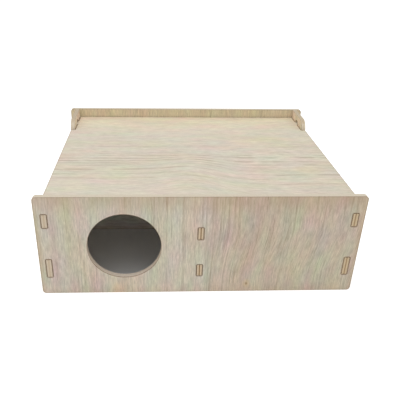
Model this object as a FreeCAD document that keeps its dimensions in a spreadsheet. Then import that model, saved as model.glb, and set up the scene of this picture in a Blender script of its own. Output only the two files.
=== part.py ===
import FreeCAD, Part
import os

import Sketcher

# A flat-pack wooden house for a hamster: six laser-cut plywood boards that slot together around
# four rooms, and a lid that swings on two pegs in the raised rear ears of the side panels.
# Frame: +X to the right along the front, +Y to the back, +Z up. The origin is on the surface
# that the house stands on, at the middle of its footprint. All sizes are in millimetres.

SIZES = (
    # The whole house
    ("house_width", 250),            # length of the front and back panels
    ("house_depth", 200),            # outer face of the front panel to that of the back panel
    ("wall_height", 78.2),           # top edge of the side panels and the dividers
    ("board", 4),                    # thickness of every board
    ("side_inset", 5.3),             # side panel's outer face to the end of the front panel
    ("front_lip", 4.5),              # front panel above the lid's top face
    ("back_lip", 8.5),               # back panel and ears above the lid's top face
    ("panel_corner", 3),             # rounded corners of the front and back panels
    # Tabs and the slots that take them
    ("tab_play", 0.3),               # gap on each side of a tab in its slot
    ("side_low_tab", 16),            # underside of a side panel's lower tabs
    ("side_low_tab_height", 16),
    ("side_high_tab_drop", 6.2),     # wall's top edge to the top of a side panel's upper tabs
    ("side_high_tab_height", 11),
    ("divider_low_tab", 16),         # underside of a divider's lower tabs
    ("divider_low_tab_height", 10),
    ("divider_high_tab_drop", 0.6),  # floor of the lid's notch to the top of the upper tabs
    ("divider_high_tab_height", 10),
    ("lap_play", 0.2),               # gap on each side of a divider in the other one's slot
    # Round holes
    ("entrance", 57),                # diameter of the way in
    ("entrance_raise", 0.3),         # its centre above the front panel's mid-height
    ("passage", 50),                 # diameter of the holes between the rooms
    ("passage_raise", 5.9),          # their centres above the walls' mid-height
    # Lid and hinge
    ("lid_gap", 0.3),                # walls' top edge to the underside of the lid
    ("lid_front_gap", 1),            # lid to the front panel
    ("lid_rear_gap", 1),             # lid to the back panel
    ("lid_side_gap", 0.5),           # lid's tongue to each ear
    ("lid_side_inset", 0.5),         # lid's wide part, in from the side panels' outer faces
    ("lid_corner", 2),               # rounded corners of the lid's wide part
    ("hinge_setback", 20),           # hinge line to the back panel's inner face
    ("ear_reach", 20),               # hinge line to the front of the ears
    ("ear_corner", 10),              # rounded front corner of an ear
    ("shoulder_gap", 1.5),           # least gap from the ears' front to the lid's wide part
    ("lid_opening", 145),            # angle, in degrees, that the lid swings through
    ("shoulder_clearance", 0.2),     # open lid's wide part above the ears' top edges
    ("peg_width", 9),                # width of a square peg, which is one board thick
    ("peg_clearance", 0.15),         # peg's corners to the round hole in the ear
    ("tail_clearance", 0.8),         # swinging rear edge of the lid to the long divider's notch
)

# Places that several boards share, worked out from the sizes.
OUTER_X = "(dims.house_width / 2 - dims.side_inset)"
INNER_X = f"({OUTER_X} - dims.board)"
OUTER_Y = "(dims.house_depth / 2)"
INNER_Y = f"({OUTER_Y} - dims.board)"
HINGE_Y = f"({INNER_Y} - dims.hinge_setback)"
EAR_FRONT_Y = f"({HINGE_Y} - dims.ear_reach)"
LID_UNDERSIDE = "(dims.wall_height + dims.lid_gap)"
LID_TOP = f"({LID_UNDERSIDE} + dims.board)"
FRONT_TOP = f"({LID_TOP} + dims.front_lip)"
BACK_TOP = f"({LID_TOP} + dims.back_lip)"
ROOM_MIDDLE_X = f"(({INNER_X} + dims.board / 2) / 2)"
ROOM_MIDDLE_Y = f"(({INNER_Y} + dims.board / 2) / 2)"
ENTRANCE_Z = f"({FRONT_TOP} / 2 + dims.entrance_raise)"
PASSAGE_Z = "(dims.wall_height / 2 + dims.passage_raise)"
LAP_Z = "(dims.wall_height / 2)"
HINGE_Z = f"({LID_UNDERSIDE} + dims.board / 2)"
LID_REAR_Y = f"({INNER_Y} - dims.lid_rear_gap)"
PEG_BORE = "(sqrt(dims.peg_width ^ 2 + dims.board ^ 2) + 2 * dims.peg_clearance)"
TAIL_REACH = (
    f"(sqrt(({LID_REAR_Y} - {HINGE_Y}) ^ 2 + (dims.board / 2) ^ 2) + dims.tail_clearance)"
)
OPEN_SLOPE = "(180 - dims.lid_opening)"
SHOULDER_RISE = (
    f"({BACK_TOP} - {HINGE_Z} + dims.shoulder_clearance + dims.board / 2 * cos({OPEN_SLOPE}))"
)
SHOULDER_REACH = f"max(dims.ear_reach + dims.shoulder_gap; {SHOULDER_RISE} / sin({OPEN_SLOPE}))"
NOTCH_Y = f"({HINGE_Y} - {TAIL_REACH})"
NOTCH_Z = f"({HINGE_Z} - {TAIL_REACH})"

# Underside and top of each row of tabs.
SIDE_TABS = (
    ("dims.side_low_tab", "dims.side_low_tab + dims.side_low_tab_height"),
    (
        "dims.wall_height - dims.side_high_tab_drop - dims.side_high_tab_height",
        "dims.wall_height - dims.side_high_tab_drop",
    ),
)
DIVIDER_TABS = (
    ("dims.divider_low_tab", "dims.divider_low_tab + dims.divider_low_tab_height"),
    (
        f"{NOTCH_Z} - dims.divider_high_tab_drop - dims.divider_high_tab_height",
        f"{NOTCH_Z} - dims.divider_high_tab_drop",
    ),
)


def add_sheet(doc):
    """The spreadsheet that holds every driving size under its own name."""
    sheet = doc.addObject("Spreadsheet::Sheet", "dims")
    for row, (name, value) in enumerate(SIZES, start=1):
        sheet.set(f"A{row}", name)
        sheet.set(f"B{row}", str(value))
        sheet.setAlias(f"B{row}", name)
    doc.recompute()
    return sheet


def add_board(doc, name, **place):
    """An empty body, placed along the axes named in place by expressions."""
    board = doc.addObject("PartDesign::Body", name)
    board.Label = name
    for axis, expression in place.items():
        board.setExpression(f"Placement.Base.{axis}", expression)
    return board


def add_sketch(board, name, plane_role):
    """A sketch on one of the body's own origin planes."""
    plane = next(item for item in board.Origin.OriginFeatures if item.Role == plane_role)
    sketch = board.newObject("Sketcher::SketchObject", name)
    sketch.AttachmentSupport = [(plane, "")]
    sketch.MapMode = "FlatFace"
    return sketch


def bind_point(sketch, geometry, point, across, up):
    """Hold one point of the sketch at two expressions, measured from the sketch's origin."""
    for kind, expression in (("DistanceX", across), ("DistanceY", up)):
        value = float(sketch.evalExpression(expression))
        index = sketch.addConstraint(Sketcher.Constraint(kind, -1, 1, geometry, point, value))
        sketch.setExpression(f"Constraints[{index}]", expression)


def add_polygon(sketch, corners):
    """A closed outline whose corners sit at pairs of expressions."""
    spots = [FreeCAD.Vector(*[float(sketch.evalExpression(e)) for e in corner]) for corner in corners]
    first = len(sketch.Geometry)
    count = len(corners)
    for i in range(count):
        sketch.addGeometry(Part.LineSegment(spots[i], spots[(i + 1) % count]), False)
    for i in range(count):
        following = first + (i + 1) % count
        sketch.addConstraint(Sketcher.Constraint("Coincident", first + i, 2, following, 1))
    for i, (across, up) in enumerate(corners):
        bind_point(sketch, first + i, 1, across, up)


def add_rectangle(sketch, left, right, bottom, top):
    add_polygon(sketch, [(left, bottom), (right, bottom), (right, top), (left, top)])


def add_circle(sketch, across, up, diameter):
    value = float(sketch.evalExpression(diameter))
    centre = FreeCAD.Vector(*[float(sketch.evalExpression(e)) for e in (across, up)])
    index = sketch.addGeometry(Part.Circle(centre, FreeCAD.Vector(0, 0, 1), value / 2), False)
    bind_point(sketch, index, 3, across, up)
    size = sketch.addConstraint(Sketcher.Constraint("Diameter", index, value))
    sketch.setExpression(f"Constraints[{size}]", diameter)


def add_pad(board, sketch):
    """Raise the sketch to the thickness of the board."""
    pad = board.newObject("PartDesign::Pad", f"{sketch.Name}_pad")
    pad.Profile = sketch
    pad.setExpression("Length", "dims.board")
    board.Document.recompute()
    return pad


def add_cut(board, sketch):
    """Cut the sketch right through the board, and make sure that wood is removed."""
    before = board.Shape.Volume
    pocket = board.newObject("PartDesign::Pocket", f"{sketch.Name}_cut")
    pocket.Profile = sketch
    pocket.Type = "ThroughAll"
    pocket.Midplane = True
    board.Document.recompute()
    if not board.Shape.Volume < before:
        raise RuntimeError(f"{pocket.Name} removes nothing")
    return pocket


def round_corners(board, spots, radius):
    """Round the edges that run through the board at the given corners of its outline."""
    feature = board.Tip
    wanted = [[float(feature.evalExpression(e)) for e in spot] for spot in spots]
    thickness = float(feature.evalExpression("dims.board"))
    to_outline = board.Group[0].Placement.inverse()
    names = []
    for number, edge in enumerate(feature.Shape.Edges, start=1):
        ends = [to_outline.multVec(vertex.Point) for vertex in edge.Vertexes]
        runs_through = len(ends) == 2 and abs(abs(ends[0].z - ends[1].z) - thickness) < 1e-6
        near = [abs(ends[0].x - x) + abs(ends[0].y - y) < 1e-6 for x, y in wanted]
        if runs_through and any(near):
            names.append(f"Edge{number}")
    if len(names) != len(wanted):
        raise RuntimeError(f"{board.Label} has {len(names)} of {len(wanted)} corners")
    fillet = board.newObject("PartDesign::Fillet", f"{board.Name}_corners")
    fillet.Base = (feature, names)
    fillet.setExpression("Radius", radius)
    board.Document.recompute()


def add_slots(sketch, middle, tabs):
    """Slots for one upright board, whose mid-plane crosses the sketch at middle."""
    half = "(dims.board / 2 + dims.tab_play)"
    for bottom, top in tabs:
        add_rectangle(
            sketch,
            f"{middle} - {half}",
            f"{middle} + {half}",
            f"{bottom} - dims.tab_play",
            f"{top} + dims.tab_play",
        )


def add_tabs(board, plane_role, inner, outer, tabs):
    """Tabs at both ends of an upright board, flush with the boards that they pass through."""
    sketch = add_sketch(board, f"{board.Name}_tabs", plane_role)
    for bottom, top in tabs:
        add_rectangle(sketch, f"-{outer}", f"-{inner}", bottom, top)
        add_rectangle(sketch, inner, outer, bottom, top)
    add_pad(board, sketch)


def make_end_panel(doc, name, top, outer_face_y, openings=()):
    """Front or back panel: as long as the house, with slots for three upright boards."""
    board = add_board(doc, name, y=outer_face_y)
    outline = add_sketch(board, f"{name}_outline", "XZ_Plane")
    half = "dims.house_width / 2"
    add_rectangle(outline, f"-{half}", half, "0", top)
    add_pad(board, outline)
    round_corners(
        board,
        [(x, z) for x in (f"-{half}", half) for z in ("0", top)],
        "dims.panel_corner",
    )
    holes = add_sketch(board, f"{name}_holes", "XZ_Plane")
    wall_middle = f"({OUTER_X} - dims.board / 2)"
    add_slots(holes, f"-{wall_middle}", SIDE_TABS)
    add_slots(holes, "0", DIVIDER_TABS)
    add_slots(holes, wall_middle, SIDE_TABS)
    for across, up, diameter in openings:
        add_circle(holes, across, up, diameter)
    add_cut(board, holes)
    return board


def make_side_panel(doc, name, outer_face_x):
    """Side panel, with the raised rear ear that carries one end of the hinge."""
    board = add_board(doc, name, x=outer_face_x)
    outline = add_sketch(board, f"{name}_outline", "YZ_Plane")
    ear_top = (EAR_FRONT_Y, BACK_TOP)
    corners = [
        (f"-{INNER_Y}", "0"),
        (INNER_Y, "0"),
        (INNER_Y, BACK_TOP),
        ear_top,
        (EAR_FRONT_Y, "dims.wall_height"),
        (f"-{INNER_Y}", "dims.wall_height"),
    ]
    add_polygon(outline, corners)
    add_pad(board, outline)
    round_corners(board, [ear_top], "dims.ear_corner")
    add_tabs(board, "YZ_Plane", INNER_Y, OUTER_Y, SIDE_TABS)
    holes = add_sketch(board, f"{name}_holes", "YZ_Plane")
    add_slots(holes, "0", DIVIDER_TABS)
    add_circle(holes, HINGE_Y, HINGE_Z, PEG_BORE)
    add_cut(board, holes)
    return board


def make_long_divider(doc):
    """Divider from front to back, notched at the rear for the lid's swinging edge."""
    board = add_board(doc, "long_divider", x="-dims.board / 2")
    outline = add_sketch(board, "long_divider_outline", "YZ_Plane")
    corners = [
        (f"-{INNER_Y}", "0"),
        (INNER_Y, "0"),
        (INNER_Y, NOTCH_Z),
        (NOTCH_Y, NOTCH_Z),
        (NOTCH_Y, "dims.wall_height"),
        (f"-{INNER_Y}", "dims.wall_height"),
    ]
    add_polygon(outline, corners)
    add_pad(board, outline)
    add_tabs(board, "YZ_Plane", INNER_Y, OUTER_Y, DIVIDER_TABS)
    holes = add_sketch(board, "long_divider_holes", "YZ_Plane")
    half = "(dims.board / 2 + dims.lap_play)"
    add_rectangle(holes, f"-{half}", half, "-dims.board", LAP_Z)
    add_circle(holes, f"-{ROOM_MIDDLE_Y}", PASSAGE_Z, "dims.passage")
    add_cut(board, holes)
    return board


def make_cross_divider(doc):
    """Divider from side to side, half-lapped over the long one, with a hole in each half."""
    board = add_board(doc, "cross_divider", y="dims.board / 2")
    outline = add_sketch(board, "cross_divider_outline", "XZ_Plane")
    add_rectangle(outline, f"-{INNER_X}", INNER_X, "0", "dims.wall_height")
    add_pad(board, outline)
    add_tabs(board, "XZ_Plane", INNER_X, OUTER_X, DIVIDER_TABS)
    holes = add_sketch(board, "cross_divider_holes", "XZ_Plane")
    half = "(dims.board / 2 + dims.lap_play)"
    add_rectangle(holes, f"-{half}", half, LAP_Z, "dims.wall_height + dims.board")
    add_circle(holes, f"-{ROOM_MIDDLE_X}", PASSAGE_Z, "dims.passage")
    add_circle(holes, ROOM_MIDDLE_X, PASSAGE_Z, "dims.passage")
    add_cut(board, holes)
    return board


def make_lid(doc):
    """Lid: a wide sheet over the rooms, and a tongue between the ears that carries the pegs."""
    board = add_board(doc, "lid", z=LID_UNDERSIDE)
    outline = add_sketch(board, "lid_outline", "XY_Plane")
    front = f"-({INNER_Y} - dims.lid_front_gap)"
    shoulder = f"({HINGE_Y} - {SHOULDER_REACH})"
    side = f"({OUTER_X} - dims.lid_side_inset)"
    tongue = f"({INNER_X} - dims.lid_side_gap)"
    corners = [
        (f"-{side}", front),
        (side, front),
        (side, shoulder),
        (tongue, shoulder),
        (tongue, LID_REAR_Y),
        (f"-{tongue}", LID_REAR_Y),
        (f"-{tongue}", shoulder),
        (f"-{side}", shoulder),
    ]
    add_polygon(outline, corners)
    add_pad(board, outline)
    round_corners(
        board,
        [(x, y) for x in (f"-{side}", side) for y in (front, shoulder)],
        "dims.lid_corner",
    )
    pegs = add_sketch(board, "lid_pegs", "XY_Plane")
    near = f"{HINGE_Y} - dims.peg_width / 2"
    far = f"{HINGE_Y} + dims.peg_width / 2"
    add_rectangle(pegs, f"-{OUTER_X}", f"-{tongue}", near, far)
    add_rectangle(pegs, tongue, OUTER_X, near, far)
    add_pad(board, pegs)
    return board


def check(doc, boards):
    """Stop if any object failed to compute or any board isn't one valid solid."""
    for item in doc.Objects:
        if "Invalid" in item.State or "Error" in item.State:
            raise RuntimeError(f"{item.Name} failed: {item.State}")
    for board in boards:
        shape = board.Shape
        if shape.isNull() or not shape.isValid() or len(shape.Solids) != 1:
            raise RuntimeError(f"{board.Label} isn't one valid solid")


def export(boards):
    os.makedirs("parts", exist_ok=True)
    for board in boards:
        board.Shape.exportStep(f"parts/{board.Label}.step")
        box = board.Shape.BoundBox
        print(board.Label, [round(v, 2) for v in (box.XLength, box.YLength, box.ZLength)])


def main():
    doc = FreeCAD.newDocument("hamster_house")
    add_sheet(doc)
    entrance = (f"-{ROOM_MIDDLE_X}", ENTRANCE_Z, "dims.entrance")
    boards = [
        make_end_panel(doc, "front_panel", FRONT_TOP, f"-{INNER_Y}", [entrance]),
        make_end_panel(doc, "back_panel", BACK_TOP, OUTER_Y),
        make_side_panel(doc, "left_side_panel", f"-{OUTER_X}"),
        make_side_panel(doc, "right_side_panel", INNER_X),
        make_long_divider(doc),
        make_cross_divider(doc),
        make_lid(doc),
    ]
    doc.recompute()
    check(doc, boards)
    export(boards)


main()
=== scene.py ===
import math

import bmesh
import bpy
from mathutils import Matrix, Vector


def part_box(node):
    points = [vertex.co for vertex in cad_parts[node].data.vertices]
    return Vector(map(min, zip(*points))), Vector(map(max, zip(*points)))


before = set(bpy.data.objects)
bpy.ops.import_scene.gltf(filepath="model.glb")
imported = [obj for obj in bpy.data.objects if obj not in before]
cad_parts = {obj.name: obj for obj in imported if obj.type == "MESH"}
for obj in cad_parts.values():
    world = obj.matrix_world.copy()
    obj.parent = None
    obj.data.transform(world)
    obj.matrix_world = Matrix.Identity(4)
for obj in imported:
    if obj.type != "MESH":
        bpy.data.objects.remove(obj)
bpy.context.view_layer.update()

# A flat-pack hamster house of seven plywood boards. Every board keeps its CAD shape, and gets its
# wood here: sliced veneer on its two faces, plies on its cut edges, and a scorched outline where
# the laser cut it, which in the slots is also painted shade in the gaps round the tabs. Some of
# the boards' colours are painted light and shade, as said where they are set.
#
# The wood is laid out in millimetres, and its sizes and places are given along the grain, across
# it and through the board. Where something is in metres, it says so, and the floor, the light and
# the camera are too.

MILLIMETRES = 1000

# Veneer
BAND_STRENGTH = 0.22        # broad dark bands, next to the thin growth lines
LINE_SINKING = 0.6          # how far the dark lines lie below the fibres
BLUE_SHARE = 0.4            # how much blue changes in a tint, next to red and green
MIDDLE_GREY = (0.5, 0.5, 0.5, 1)
STREAK_WAVER = 4
THROUGH_ALL = 1000          # half size of a patch through the board, so that both faces have it
KNOT_SQUASH = (0.7, 1, 0)   # a knot is longer along the grain, and goes right through

# Cut edges
BOARD = (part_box("lid")[1].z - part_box("lid")[0].z) * MILLIMETRES
CORE_SHARE = 0.22           # the core ply's share of the board
CORE_BLUR = 0.2
GLUE_REACH = 0.3
GLUE_STRENGTH = 0.22
CUT_OUT_START = 1           # a cut starts to count as a cut-out this far inside the outline
CUT_OUT_FULL = 4            # and counts fully here
CUT_OUT_CORE = 0.2          # how much of the core's colour shows in a cut-out

# The laser's scorch and smoke, which also paint shade in the slots' gaps and along the outlines
SCORCH_AND_GAP_SHADE_REACH = 0.0013       # metres
CLEAN_CUT_REACH = 0.0006    # metres
OUTLINE_CHARRING = 0.3
# In a cut-out the char is stronger, and in the slots it is also painted shade in the gaps round the
# tabs.
CUT_OUT_CHAR_AND_GAP_SHADE = 0.8
EDGE_CHARRING = 0.2         # on a cut edge, next to the same place on a face
# The smoke is partly laser soot and partly painted shade: a brown band along each outline, widest
# at the ends of the grain and least at the grain's low end.
SMOKE_AND_SHADE_WIDTH = 20            # from the two ends of the grain
SMOKE_AND_SHADE_NARROWING = 3.5       # how much narrower the smoke is at the other two sides
SMOKE_AND_SHADE_RISE = 10             # how far outside the board the smoke starts at the grain's low end

# Surface
SOFT_EDGE = 0.00025         # metres
FIBRE_HEIGHT = 0.0002       # metres
FIBRE_RELIEF = 0.25
LINE_ROUGHNESS = 0.72
FIBRE_ROUGHNESS = 0.6
GLOSS = 0.3


# ---------------------------------------------------------------- node helpers

def paint(red, green, blue):
    """A colour written as 0 to 255 per channel, as the linear RGBA that a socket takes."""
    channels = []
    for value in (red, green, blue):
        share = value / 255
        channels.append(share / 12.92 if share <= 0.04045 else ((share + 0.055) / 1.055) ** 2.4)
    return (*channels, 1)


def add(tree, kind, inputs=None, **settings):
    """Add a node, set its properties, and link or set its inputs."""
    node = tree.nodes.new(kind)
    for name, value in settings.items():
        setattr(node, name, value)
    for name, value in (inputs or {}).items():
        if isinstance(value, bpy.types.NodeSocket):
            tree.links.new(value, node.inputs[name])
        else:
            node.inputs[name].default_value = value
    return node


def calculate(tree, operation, *values):
    return add(tree, "ShaderNodeMath", dict(enumerate(values)), operation=operation).outputs[0]


def calculate_vector(tree, operation, *values, output="Vector", **named_values):
    inputs = {**dict(enumerate(values)), **named_values}
    return add(tree, "ShaderNodeVectorMath", inputs, operation=operation).outputs[output]


def separate(tree, vector):
    return add(tree, "ShaderNodeSeparateXYZ", {0: vector}).outputs


def join(tree, x, y, z):
    return add(tree, "ShaderNodeCombineXYZ", {"X": x, "Y": y, "Z": z}).outputs[0]


def ramp(tree, value, low, high, bottom=0.0, top=1.0):
    """A smooth step from bottom to top while value goes from low to high."""
    inputs = {"Value": value, "From Min": low, "From Max": high, "To Min": bottom, "To Max": top}
    return add(tree, "ShaderNodeMapRange", inputs, interpolation_type="SMOOTHSTEP").outputs[0]


def blend(tree, factor, first, second, blend_type="MIX"):
    """Mix two colours. A colour mix reads its factor at input 0, and its colours at 6 and 7."""
    inputs = {0: factor, 6: first, 7: second}
    node = add(tree, "ShaderNodeMix", inputs, data_type="RGBA", blend_type=blend_type)
    return node.outputs[2]


def stretched_noise(tree, vector, sizes, detail, roughness, output="Fac"):
    """Noise whose lumps are as large as sizes: along the grain, across it and through the board."""
    scaled = calculate_vector(tree, "MULTIPLY", vector, [1 / size for size in sizes])
    inputs = {"Vector": scaled, "Scale": 1.0, "Detail": detail, "Roughness": roughness}
    return add(tree, "ShaderNodeTexNoise", inputs).outputs[output]


def new_group(name, inputs, outputs):
    """An empty shader node group, with the sockets that its nodes read and write."""
    group = bpy.data.node_groups.new(name, "ShaderNodeTree")
    for socket, kind in inputs.items():
        group.interface.new_socket(name=socket, in_out="INPUT", socket_type=f"NodeSocket{kind}")
    for socket, kind in outputs.items():
        group.interface.new_socket(name=socket, in_out="OUTPUT", socket_type=f"NodeSocket{kind}")
    read = group.nodes.new("NodeGroupInput").outputs
    write = group.nodes.new("NodeGroupOutput").inputs
    return group, read, write


def use(tree, group, inputs):
    return add(tree, "ShaderNodeGroup", inputs, node_tree=group).outputs


def empty_material(name):
    material = bpy.data.materials.new(name)
    material.use_nodes = True
    material.node_tree.nodes.clear()
    return material


# ---------------------------------------------------------------- what the boards share

def make_swerve_group():
    """Grain that runs straight, moves sideways over a stretch, and runs straight on. The move
    grows from nothing to all of it between two places across the grain."""
    group, read, write = new_group(
        "grain swerve",
        {
            "Grain": "Vector",
            "From": "Float",
            "To": "Float",
            "Sideways": "Float",
            "Fade From": "Float",
            "Fade To": "Float",
        },
        {"Grain": "Vector"},
    )
    spot = separate(group, read["Grain"])
    step = ramp(group, spot["X"], read["From"], read["To"])
    fade = ramp(group, spot["Y"], read["Fade From"], read["Fade To"])
    share = calculate(group, "MULTIPLY", step, fade)
    shift = calculate(group, "MULTIPLY", share, read["Sideways"])
    across = calculate(group, "ADD", spot["Y"], shift)
    group.links.new(join(group, spot["X"], across, spot["Z"]), write["Grain"])
    return group


def make_veneer_group():
    """Sliced veneer: broad bands, thin broken growth lines, fine fibres, and changes of colour."""
    group, read, write = new_group(
        "veneer",
        {
            "Grain": "Vector",
            "Pale": "Color",
            "Line": "Color",
            "Rosy": "Color",
            "Mossy": "Color",
            "Line Strength": "Float",
            "Drift": "Float",
            "Tint": "Float",
            "Fibre": "Float",
        },
        {"Color": "Color", "Height": "Float"},
    )
    grain = read["Grain"]
    bands = stretched_noise(group, grain, (240, 8, 40), detail=2, roughness=0.5)
    lines = stretched_noise(group, grain, (70, 1.6, 9), detail=4, roughness=0.65)
    crowding = stretched_noise(group, grain, (60, 13, 40), detail=1, roughness=0.5)
    fibres = stretched_noise(group, grain, (8, 1.0, 2), detail=4, roughness=0.75)
    blush = stretched_noise(group, grain, (64, 18, 40), detail=2, roughness=0.6)
    moss = stretched_noise(group, grain, (70, 22, 50), detail=2, roughness=0.6)
    tints = stretched_noise(group, grain, (26, 11, 30), detail=1, roughness=0.4, output="Color")

    # Growth lines show where they crowd together.
    thin_lines = ramp(group, lines, 0.48, 0.7)
    thin_lines = calculate(group, "MULTIPLY", thin_lines, ramp(group, crowding, 0.3, 0.6))
    broad_bands = ramp(group, bands, 0.45, 0.7)
    dark = calculate(group, "MULTIPLY_ADD", broad_bands, BAND_STRENGTH, thin_lines)
    dark = calculate(group, "MULTIPLY", dark, read["Line Strength"])

    rosy = calculate(group, "MULTIPLY", ramp(group, blush, 0.46, 0.66), read["Drift"])
    mossy = calculate(group, "MULTIPLY", ramp(group, moss, 0.52, 0.34), read["Drift"])
    colour = blend(group, rosy, read["Pale"], read["Rosy"])
    colour = blend(group, mossy, colour, read["Mossy"])
    colour = blend(group, dark, colour, read["Line"])

    # A tint of middle grey, doubled, leaves the colour as it is. Fibres lighten and darken it.
    red_green_blue = (1, 1, BLUE_SHARE)
    rest_of_blue = (0, 0, (1 - BLUE_SHARE) / 2)
    tints = calculate_vector(group, "MULTIPLY_ADD", tints, red_green_blue, rest_of_blue)
    tint = blend(group, read["Tint"], MIDDLE_GREY, tints)
    fibre_light = ramp(group, fibres, 0.25, 0.75, bottom=-1)
    fibre_light = calculate(group, "MULTIPLY_ADD", fibre_light, read["Fibre"], 2)
    shade = calculate_vector(group, "SCALE", tint, Scale=fibre_light)
    colour = blend(group, 1.0, colour, shade, "MULTIPLY")
    group.links.new(colour, write["Color"])

    sunk = calculate(group, "MULTIPLY", dark, LINE_SINKING)
    group.links.new(calculate(group, "SUBTRACT", fibres, sunk), write["Height"])
    return group


def make_patch_group():
    """A soft oval patch that lies along the grain."""
    group, read, write = new_group(
        "patch",
        {"Grain": "Vector", "Centre": "Vector", "Half Size": "Vector"},
        {"Mask": "Float"},
    )
    waver = stretched_noise(group, read["Grain"], (30, 10, 60), detail=2, roughness=0.6)
    away = calculate_vector(group, "SUBTRACT", read["Grain"], read["Centre"])
    share = calculate_vector(group, "DIVIDE", away, read["Half Size"])
    distance = calculate_vector(group, "LENGTH", share, output="Value")
    distance = calculate(group, "ADD", distance, waver)
    group.links.new(ramp(group, distance, 1.5, 0.6), write["Mask"])
    return group


def make_streak_group():
    """One dark growth line that runs with the grain, wavers a little, and comes and goes."""
    group, read, write = new_group(
        "streak",
        {"Grain": "Vector", "Across": "Float", "Half Width": "Float"},
        {"Mask": "Float"},
    )
    waver = stretched_noise(group, read["Grain"], (38, 60, 60), detail=2, roughness=0.5)
    waver = calculate(group, "SUBTRACT", waver, 0.5)
    strength = stretched_noise(group, read["Grain"], (26, 9, 60), detail=2, roughness=0.6)
    strength = ramp(group, strength, 0.35, 0.6, bottom=0.1)
    spot = separate(group, read["Grain"])
    away = calculate(group, "SUBTRACT", spot["Y"], read["Across"])
    away = calculate(group, "MULTIPLY_ADD", waver, STREAK_WAVER, away)
    share = calculate(group, "DIVIDE", calculate(group, "ABSOLUTE", away), read["Half Width"])
    mask = calculate(group, "MULTIPLY", ramp(group, share, 1.0, 0.0), strength)
    group.links.new(mask, write["Mask"])
    return group


def make_knot_group():
    """A small pin knot: a brown heart in a wider golden halo."""
    group, read, write = new_group(
        "knot",
        {"Grain": "Vector", "Centre": "Vector", "Radius": "Float"},
        {"Heart": "Float", "Halo": "Float"},
    )
    away = calculate_vector(group, "SUBTRACT", read["Grain"], read["Centre"])
    squashed = calculate_vector(group, "MULTIPLY", away, KNOT_SQUASH)
    distance = calculate_vector(group, "LENGTH", squashed, output="Value")
    share = calculate(group, "DIVIDE", distance, read["Radius"])
    group.links.new(ramp(group, share, 1.0, 0.2, top=0.65), write["Heart"])
    group.links.new(ramp(group, share, 3.2, 0.6, top=0.5), write["Halo"])
    return group


def make_plies_group():
    """A cut edge. Core In End Grain is 1 where the cut crosses the core's fibres, so the core is
    dark and the outer plies have their colour by it. It is 0 where the cut crosses the outer
    plies' fibres, and the whole edge is nearly even."""
    group, read, write = new_group(
        "plies",
        {
            "Grain": "Vector",
            "Depth": "Float",
            "Core Half": "Float",
            "Core In End Grain": "Float",
            "Outer": "Color",
            "Outer By Core": "Color",
            "Core": "Color",
            "Glue": "Color",
        },
        {"Color": "Color"},
    )
    distance = calculate(group, "ABSOLUTE", read["Depth"])
    beyond = calculate(group, "SUBTRACT", distance, read["Core Half"])
    core = ramp(group, beyond, CORE_BLUR, -CORE_BLUR)
    core = calculate(group, "MULTIPLY", core, read["Core In End Grain"])
    glue = ramp(group, calculate(group, "ABSOLUTE", beyond), GLUE_REACH, 0.0)
    glue = calculate(group, "MULTIPLY", glue, GLUE_STRENGTH)
    flecks = stretched_noise(group, read["Grain"], (1.4, 1.4, 0.5), detail=3, roughness=0.65)
    shade = ramp(group, flecks, 0.3, 0.7, bottom=0.92, top=1.05)
    outer = blend(group, read["Core In End Grain"], read["Outer"], read["Outer By Core"])
    colour = blend(group, core, outer, read["Core"])
    colour = blend(group, glue, colour, read["Glue"])
    colour = blend(group, 1.0, colour, join(group, shade, shade, shade), "MULTIPLY")
    group.links.new(colour, write["Color"])
    return group


def make_outline_group():
    """How far inside its board's outline a point lies, along the grain and across it."""
    group, read, write = new_group(
        "inside outline",
        {"Place": "Vector", "Low": "Vector", "High": "Vector"},
        {"Along": "Float", "Across": "Float", "Nearest": "Float"},
    )
    from_low = calculate_vector(group, "SUBTRACT", read["Place"], read["Low"])
    from_high = calculate_vector(group, "SUBTRACT", read["High"], read["Place"])
    inside = separate(group, calculate_vector(group, "MINIMUM", from_low, from_high))
    group.links.new(inside["X"], write["Along"])
    group.links.new(inside["Y"], write["Across"])
    group.links.new(calculate(group, "MINIMUM", inside["X"], inside["Y"]), write["Nearest"])
    return group


def make_scorch_and_gap_shade_group():
    """How near a point lies to a sharp outer corner, where the laser has browned the wood. With a
    high Strength, as in cut-outs, it also paints the shade in the slots' gaps round the tabs.
    """
    group, read, write = new_group(
        "laser scorch",
        {"Reach": "Float", "Strength": "Float"},
        {"Mask": "Float"},
    )
    corner = add(
        group,
        "ShaderNodeAmbientOcclusion",
        {"Distance": read["Reach"]},
        inside=True,
        only_local=True,
        samples=16,
    )
    nearness = ramp(group, corner.outputs["AO"], 0.95, 0.6)
    group.links.new(calculate(group, "MULTIPLY", nearness, read["Strength"]), write["Mask"])
    return group


def make_smoke_and_shade_group():
    """A faint brown haze along a board's outline, partly soot from the laser and partly painted
    shade.
    It is Width wide at the two ends of the grain, and narrower at the other two sides."""
    group, read, write = new_group(
        "laser smoke",
        {"Place": "Vector", "Along": "Float", "Across": "Float", "Width": "Float"},
        {"Mask": "Float"},
    )
    across = calculate(group, "MULTIPLY", read["Across"], SMOKE_AND_SHADE_NARROWING)
    nearest = calculate(group, "MINIMUM", read["Along"], across)
    share = calculate(group, "DIVIDE", nearest, read["Width"])
    cloud = stretched_noise(group, read["Place"], (18, 14, 30), detail=3, roughness=0.6)
    cloud = ramp(group, cloud, 0.2, 0.7, bottom=0.6, top=1.1)
    haze = calculate(group, "MULTIPLY", ramp(group, share, 1.0, 0.0), cloud)
    group.links.new(haze, write["Mask"])
    return group


SWERVE = make_swerve_group()
VENEER = make_veneer_group()
PATCH = make_patch_group()
STREAK = make_streak_group()
KNOT = make_knot_group()
PLIES = make_plies_group()
OUTLINE = make_outline_group()
SCORCH_AND_GAP_SHADE = make_scorch_and_gap_shade_group()
SMOKE_AND_SHADE = make_smoke_and_shade_group()

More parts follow.
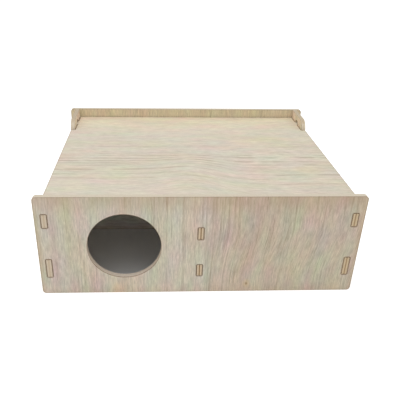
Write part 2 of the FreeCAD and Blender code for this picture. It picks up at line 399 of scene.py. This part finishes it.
LINE = paint(146, 130, 110)
ROSY = paint(204, 181, 168)
MOSSY = paint(190, 188, 160)
OCHRE = paint(212, 192, 148)
RUST = paint(186, 160, 140)
SAGE = paint(184, 184, 162)
KNOT_BROWN = paint(128, 100, 66)
KNOT_GOLD = paint(204, 180, 138)
END_GRAIN_PLY = paint(197, 187, 169)
SIDE_GRAIN_PLY = paint(206, 185, 156)
# Paler than the outer edges' plies: painted light on the rims of cut-outs, such as the entrance
# hole, which its own top shades.
CUT_OUT_PLY_PAINTED_LIGHTER = paint(217, 203, 186)
CORE_PLY = paint(136, 108, 74)
GLUE = paint(150, 128, 100)
# The char's brown, which in the slots also stands for the shade in the gaps round the tabs.
CHAR_AND_GAP_SHADE = paint(112, 80, 48)
# The brown of the laser's soot and of the painted shade along the outlines.
SMOKE_AND_SHADE_BROWN = paint(176, 148, 114)


# ---------------------------------------------------------------- one plywood for each board

def read_place(tree, axes):
    """Where on its board a point lies, in millimetres, and the part of its normal along each
    axis. Both are in the order of axes."""
    coordinates = add(tree, "ShaderNodeTexCoord").outputs
    place = separate(tree, coordinates["Object"])
    facing = separate(tree, coordinates["Normal"])
    metres = join(tree, *[place[axis] for axis in axes])
    millimetres = calculate_vector(tree, "SCALE", metres, Scale=MILLIMETRES)
    return millimetres, [facing[axis] for axis in axes]


def bend_grain(tree, grain, swerves):
    for start, end, sideways, fade_start, fade_end in swerves:
        inputs = {
            "Grain": grain,
            "From": start,
            "To": end,
            "Sideways": sideways,
            "Fade From": fade_start,
            "Fade To": fade_end,
        }
        grain = use(tree, SWERVE, inputs)["Grain"]
    return grain


def ground_colour(tree, place, grain, pale, far_colour, patches):
    """The veneer's colour before its lines and fibres."""
    colour = pale
    if far_colour:
        other_colour, start, end = far_colour
        colour = blend(tree, ramp(tree, separate(tree, place)["Y"], start, end), pale, other_colour)
    for centre, half_size, other_colour, strength in patches:
        inputs = {"Grain": grain, "Centre": (*centre, 0), "Half Size": (*half_size, THROUGH_ALL)}
        mask = use(tree, PATCH, inputs)["Mask"]
        colour = blend(tree, calculate(tree, "MULTIPLY", mask, strength), colour, other_colour)
    return colour


def draw_streaks_and_knots(tree, place, grain, colour, streaks, knots):
    for across, half_width, strength in streaks:
        inputs = {"Grain": grain, "Across": across, "Half Width": half_width}
        mask = use(tree, STREAK, inputs)["Mask"]
        colour = blend(tree, calculate(tree, "MULTIPLY", mask, strength), colour, LINE)
    for centre, radius in knots:
        knot = use(tree, KNOT, {"Grain": place, "Centre": centre, "Radius": radius})
        colour = blend(tree, knot["Halo"], colour, KNOT_GOLD)
        colour = blend(tree, knot["Heart"], colour, KNOT_BROWN)
    return colour


def smoke_and_shade_faces(tree, place, low, high, colour, strength):
    """Brown the faces along the outline with laser soot and painted shade, less at the low end
    of the grain than at the high one.
    """
    lowered = (low[0] - SMOKE_AND_SHADE_RISE, low[1], low[2])
    outline = use(tree, OUTLINE, {"Place": place, "Low": lowered, "High": high})
    inputs = {
        "Place": place,
        "Along": outline["Along"],
        "Across": outline["Across"],
        "Width": SMOKE_AND_SHADE_WIDTH,
    }
    haze = calculate(tree, "MULTIPLY", use(tree, SMOKE_AND_SHADE, inputs)["Mask"], strength)
    return blend(tree, haze, colour, SMOKE_AND_SHADE_BROWN)


def scorch_and_gap_shade_reach(tree, place, clean_cut):
    if not clean_cut:
        return SCORCH_AND_GAP_SHADE_REACH
    centre, start, end = clean_cut
    away = calculate_vector(tree, "DISTANCE", place, centre, output="Value")
    return ramp(tree, away, start, end, bottom=CLEAN_CUT_REACH, top=SCORCH_AND_GAP_SHADE_REACH)


def plywood(
    node,
    axes,
    sheet_place,
    pale,
    far_colour=None,
    line_strength=0.4,
    drift=0.5,
    tint=0.13,
    fibre=0.46,
    smoke_and_shade=0.3,
    end_grain=END_GRAIN_PLY,
    side_grain=SIDE_GRAIN_PLY,
    cut_out=CUT_OUT_PLY_PAINTED_LIGHTER,
    core=CORE_PLY,
    clean_cut=None,
    swerves=(),
    patches=(),
    streaks=(),
    knots=(),
):
    """Give one board its wood.

    axes: the board's axes along, across and through the grain
    sheet_place: where in the veneer the board was cut
    pale: the veneer's main colour
    far_colour: a second colour, and where across the grain it starts and is reached
    line_strength, drift, tint, fibre, smoke: how strong the growth lines, the rosy and mossy
    drifts, the small tints, the fibres, and the laser's soot and painted shade along outlines are
    end_grain, side_grain, cut_out, core: the outer plies' colours where a cut crosses their
    fibres, where it runs along them, and in a cut-out, which by default is paler with painted
    light, and the core's colour
    clean_cut: a place, and how far from it the char and gap shade are still narrow and are fully
    wide
    swerves: each from where to where along the grain it runs, how far it goes sideways, and
        between which places across the grain it grows
    patches: each a centre, a half size, a colour and a strength
    streaks: each a place across the grain, a half width and a strength
    knots: each a centre and a radius
    """
    material = empty_material(f"{node}_plywood")
    tree = material.node_tree
    low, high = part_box(node)
    order = ["XYZ".index(axis) for axis in axes]
    low = [low[i] * MILLIMETRES for i in order]
    high = [high[i] * MILLIMETRES for i in order]
    place, (_, facing_across, facing_through) = read_place(tree, axes)
    bent = bend_grain(tree, place, swerves)
    grain = calculate_vector(tree, "ADD", bent, sheet_place)

    veneer = use(
        tree,
        VENEER,
        {
            "Grain": grain,
            "Pale": ground_colour(tree, place, bent, pale, far_colour, patches),
            "Line": LINE,
            "Rosy": ROSY,
            "Mossy": MOSSY,
            "Line Strength": line_strength,
            "Drift": drift,
            "Tint": tint,
            "Fibre": fibre,
        },
    )
    face = draw_streaks_and_knots(tree, place, bent, veneer["Color"], streaks, knots)
    face = smoke_and_shade_faces(tree, place, low, high, face, smoke_and_shade)

    outline = use(tree, OUTLINE, {"Place": place, "Low": low, "High": high})
    in_cut_out = ramp(tree, outline["Nearest"], CUT_OUT_START, CUT_OUT_FULL)
    core_shows = ramp(tree, in_cut_out, 0, 1, bottom=1, top=CUT_OUT_CORE)
    crossing = calculate(tree, "MULTIPLY", facing_across, facing_across)
    crossing = calculate(tree, "MULTIPLY", crossing, core_shows)
    middle = (low[2] + high[2]) / 2
    plies = use(
        tree,
        PLIES,
        {
            "Grain": grain,
            "Depth": calculate(tree, "SUBTRACT", separate(tree, place)["Z"], middle),
            "Core Half": BOARD * CORE_SHARE / 2,
            "Core In End Grain": crossing,
            "Outer": blend(tree, in_cut_out, end_grain, cut_out),
            "Outer By Core": side_grain,
            "Core": core,
            "Glue": GLUE,
        },
    )
    is_face = calculate(tree, "ABSOLUTE", facing_through)
    is_face = calculate(tree, "GREATER_THAN", is_face, 0.5)
    colour = blend(tree, is_face, plies["Color"], face)

    # Char along every cut, stronger in cut-outs, where in the slots it is also painted shade in the
    # gaps round the tabs.
    char_and_gap_shade = ramp(tree, in_cut_out, 0, 1, bottom=OUTLINE_CHARRING, top=CUT_OUT_CHAR_AND_GAP_SHADE)
    face_or_edge = ramp(tree, is_face, 0, 1, bottom=EDGE_CHARRING)
    char_and_gap_shade = calculate(tree, "MULTIPLY", char_and_gap_shade, face_or_edge)
    reach = scorch_and_gap_shade_reach(tree, place, clean_cut)
    scorch_and_gap_shade = use(tree, SCORCH_AND_GAP_SHADE, {"Reach": reach, "Strength": char_and_gap_shade})
    colour = blend(tree, scorch_and_gap_shade["Mask"], colour, CHAR_AND_GAP_SHADE)

    soft_edge = add(tree, "ShaderNodeBevel", {"Radius": SOFT_EDGE}, samples=4)
    inputs = {
        "Height": veneer["Height"],
        "Normal": soft_edge.outputs[0],
        "Strength": FIBRE_RELIEF,
        "Distance": FIBRE_HEIGHT,
    }
    relief = add(tree, "ShaderNodeBump", inputs)
    inputs = {
        "Base Color": colour,
        "Roughness": ramp(tree, veneer["Height"], 0.2, 0.8, LINE_ROUGHNESS, FIBRE_ROUGHNESS),
        "Normal": relief.outputs[0],
        "Specular IOR Level": GLOSS,
    }
    shader = add(tree, "ShaderNodeBsdfPrincipled", inputs)
    add(tree, "ShaderNodeOutputMaterial", {"Surface": shader.outputs[0]})
    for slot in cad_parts[node].material_slots:
        slot.material = material


UPRIGHT_GRAIN_ON_LONG_BOARD = "ZXY"
UPRIGHT_GRAIN_ON_DEEP_BOARD = "ZYX"
SIDEWAYS_GRAIN_LYING_FLAT = "XYZ"
SIDEWAYS_GRAIN_ON_EDGE = "XZY"

plywood(
    "front_panel",
    UPRIGHT_GRAIN_ON_LONG_BOARD,
    (0, 0, 0),
    paint(202, 192, 176),
    far_colour=(paint(193, 180, 160), -5, 40),
    line_strength=0.6,
    drift=0.4,
    tint=0.15,
    smoke_and_shade=0.4,
    clean_cut=((60, -58.85, -98), 34, 42),
    swerves=[(62, 12, 6, 0, 22)],
    patches=[
        ((48, 38), (44, 17), RUST, 0.45),
        ((50, 66), (40, 8), SAGE, 0.45),
        ((64, 84), (15, 9), ROSY, 0.5),
        ((40, 100), (30, 11), SAGE, 0.4),
        ((16, 66), (14, 20), ROSY, 0.35),
        ((55, -116), (36, 10), SAGE, 0.2),
        ((18, -92), (18, 14), ROSY, 0.35),
        ((4, -64), (10, 9), OCHRE, 0.5),
    ],
    streaks=[
        (-38, 1.0, 0.35),
        (-26, 1.3, 0.4),
        (-13.5, 1.2, 0.4),
        (11, 1.2, 0.4),
        (17, 1.0, 0.35),
        (21, 1.0, 0.35),
        (25, 1.1, 0.4),
        (29, 1.2, 0.35),
        (34, 1.0, 0.25),
    ],
    knots=[((7.5, 38.5, 0), 1.4)],
)
plywood(
    "back_panel",
    UPRIGHT_GRAIN_ON_LONG_BOARD,
    (300, 410, 40),
    paint(209, 196, 163),
    drift=0.12,
    tint=0.1,
    smoke_and_shade=0.12,
)
# The side panels' veneer is paler than the other boards': painted light on their inner faces, which
# see only half of the sky.
plywood(
    "left_side_panel",
    UPRIGHT_GRAIN_ON_DEEP_BOARD,
    (0, 120, 90),
    paint(232, 215, 188),
    drift=0.2,
    tint=0.1,
    smoke_and_shade=0.05,
    end_grain=paint(178, 163, 140),
    side_grain=paint(205, 189, 166),
    cut_out=paint(204, 192, 172),
    core=paint(196, 176, 150),
)
plywood(
    "right_side_panel",
    UPRIGHT_GRAIN_ON_DEEP_BOARD,
    (70, 300, 210),
    paint(234, 214, 184),
    drift=0.2,
    tint=0.1,
    smoke_and_shade=0.05,
    end_grain=paint(182, 168, 144),
    side_grain=paint(201, 180, 147),
    cut_out=paint(206, 195, 174),
    core=paint(156, 128, 94),
)
# Darker than the other boards: painted shade for the dim inside of the house.
plywood("long_divider", UPRIGHT_GRAIN_ON_DEEP_BOARD, (500, 80, 300), paint(184, 176, 160))
# Paler and greyer than the other boards: painted light on a wall that stands in the house's shade.
plywood("cross_divider", SIDEWAYS_GRAIN_ON_EDGE, (900, 160, 350), paint(210, 205, 198))
# The lid turns paler and yellower towards its back: painted light where the back panel and the side
# panels' ears shade it.
plywood(
    "lid",
    SIDEWAYS_GRAIN_LYING_FLAT,
    (40, 700, 150),
    paint(198, 190, 174),
    far_colour=(paint(210, 198, 172), 30, 95),
    line_strength=0.2,
    drift=0.35,
    tint=0.09,
    fibre=0.3,
    smoke_and_shade=0.05,
    swerves=[(-45, -9, -5, 3, -40), (-9, 45, 17, 6, -50)],
    patches=[
        ((75, 25), (50, 22), OCHRE, 0.3),
        ((-80, 22), (30, 12), ROSY, 0.3),
        ((-25, -5), (40, 9), SAGE, 0.25),
        ((95, -32), (22, 9), OCHRE, 0.35),
    ],
    streaks=[
        (9, 2.0, 0.25),
        (-4, 1.6, 0.3),
        (-8, 1.5, 0.35),
        (-12, 1.9, 0.5),
        (-18, 1.7, 0.45),
        (-23, 2.0, 0.5),
        (-28, 1.6, 0.35),
        (-33, 1.6, 0.3),
        (-41, 2.2, 0.5),
        (-50, 1.6, 0.3),
        (-58, 2.0, 0.35),
    ],
)


# ---------------------------------------------------------------- floor, light and camera

AMBIENT = 0.82
FLOOR_HALF_SIZE = 3
FLOOR_GREY = (0.8, 0.8, 0.8, 1)
FLOOR_LIFT = 0.45
WHITE = (1, 1, 1, 1)
MIDDLE_OF_HOUSE = Vector((0, 0, 0.05))


def background_rays(tree):
    """One for the rays that see the plain background: from the camera, or off or through gloss."""
    rays = add(tree, "ShaderNodeLightPath").outputs
    gloss = calculate(tree, "MAXIMUM", rays["Is Glossy Ray"], rays["Is Transmission Ray"])
    return calculate(tree, "MAXIMUM", rays["Is Camera Ray"], gloss)


def make_world():
    """An even pale studio that is plain white where it is seen."""
    world = bpy.data.worlds.new("studio")
    world.use_nodes = True
    tree = world.node_tree
    tree.nodes.clear()
    strength = calculate(tree, "MULTIPLY_ADD", background_rays(tree), 1 - AMBIENT, AMBIENT)
    background = add(tree, "ShaderNodeBackground", {"Color": WHITE, "Strength": strength})
    add(tree, "ShaderNodeOutputWorld", {"Surface": background.outputs[0]})
    bpy.context.scene.world = world


def make_floor():
    """A pale floor that looks white around the house, keeps its shadow, and is plain inside it."""
    shape = bmesh.new()
    bmesh.ops.create_grid(shape, x_segments=1, y_segments=1, size=FLOOR_HALF_SIZE)
    mesh = bpy.data.meshes.new("floor")
    shape.to_mesh(mesh)
    shape.free()
    floor = bpy.data.objects.new("floor", mesh)
    bpy.context.scene.collection.objects.link(floor)

    material = empty_material("pale_floor")
    tree = material.node_tree
    place = separate(tree, add(tree, "ShaderNodeTexCoord").outputs["Object"])
    half_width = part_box("right_side_panel")[0].x + BOARD / MILLIMETRES / 2
    half_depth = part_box("back_panel")[0].y + BOARD / MILLIMETRES / 2
    from_middle = calculate(tree, "ABSOLUTE", place["X"])
    past_side = calculate(tree, "GREATER_THAN", from_middle, half_width)
    from_middle = calculate(tree, "ABSOLUTE", place["Y"])
    past_end = calculate(tree, "GREATER_THAN", from_middle, half_depth)
    outside = calculate(tree, "MAXIMUM", past_side, past_end)
    lift = calculate(tree, "MULTIPLY", outside, background_rays(tree))
    lift = calculate(tree, "MULTIPLY", lift, FLOOR_LIFT)
    matt = add(tree, "ShaderNodeBsdfDiffuse", {"Color": FLOOR_GREY})
    glow = add(tree, "ShaderNodeEmission", {"Color": WHITE, "Strength": lift})
    both = add(tree, "ShaderNodeAddShader", {0: matt.outputs[0], 1: glow.outputs[0]})
    add(tree, "ShaderNodeOutputMaterial", {"Surface": both.outputs[0]})
    mesh.materials.append(material)


def make_light(name, location, size, power):
    """A square soft light that faces the house."""
    lamp = bpy.data.lights.new(name, "AREA")
    lamp.size = size
    lamp.energy = power
    light = bpy.data.objects.new(name, lamp)
    light.location = location
    towards = MIDDLE_OF_HOUSE - light.location
    light.rotation_euler = towards.to_track_quat("-Z", "Y").to_euler()
    bpy.context.scene.collection.objects.link(light)


def make_camera():
    """In front of the house, left of its middle, looking down on it."""
    lens = bpy.data.cameras.new("camera")
    lens.lens = 44.6
    lens.shift_x = 0.0567
    lens.shift_y = -0.0197
    camera = bpy.data.objects.new("camera", lens)
    camera.location = (-0.0351, -0.4215, 0.2557)
    camera.rotation_euler = [math.radians(angle) for angle in (62.884, -1.055, -2.357)]
    bpy.context.scene.collection.objects.link(camera)
    bpy.context.scene.camera = camera


make_world()
make_floor()
make_light("overhead", (-0.12, -0.25, 1.0), size=0.7, power=4.2)
make_camera()
bpy.context.scene.view_settings.view_transform = "Standard"
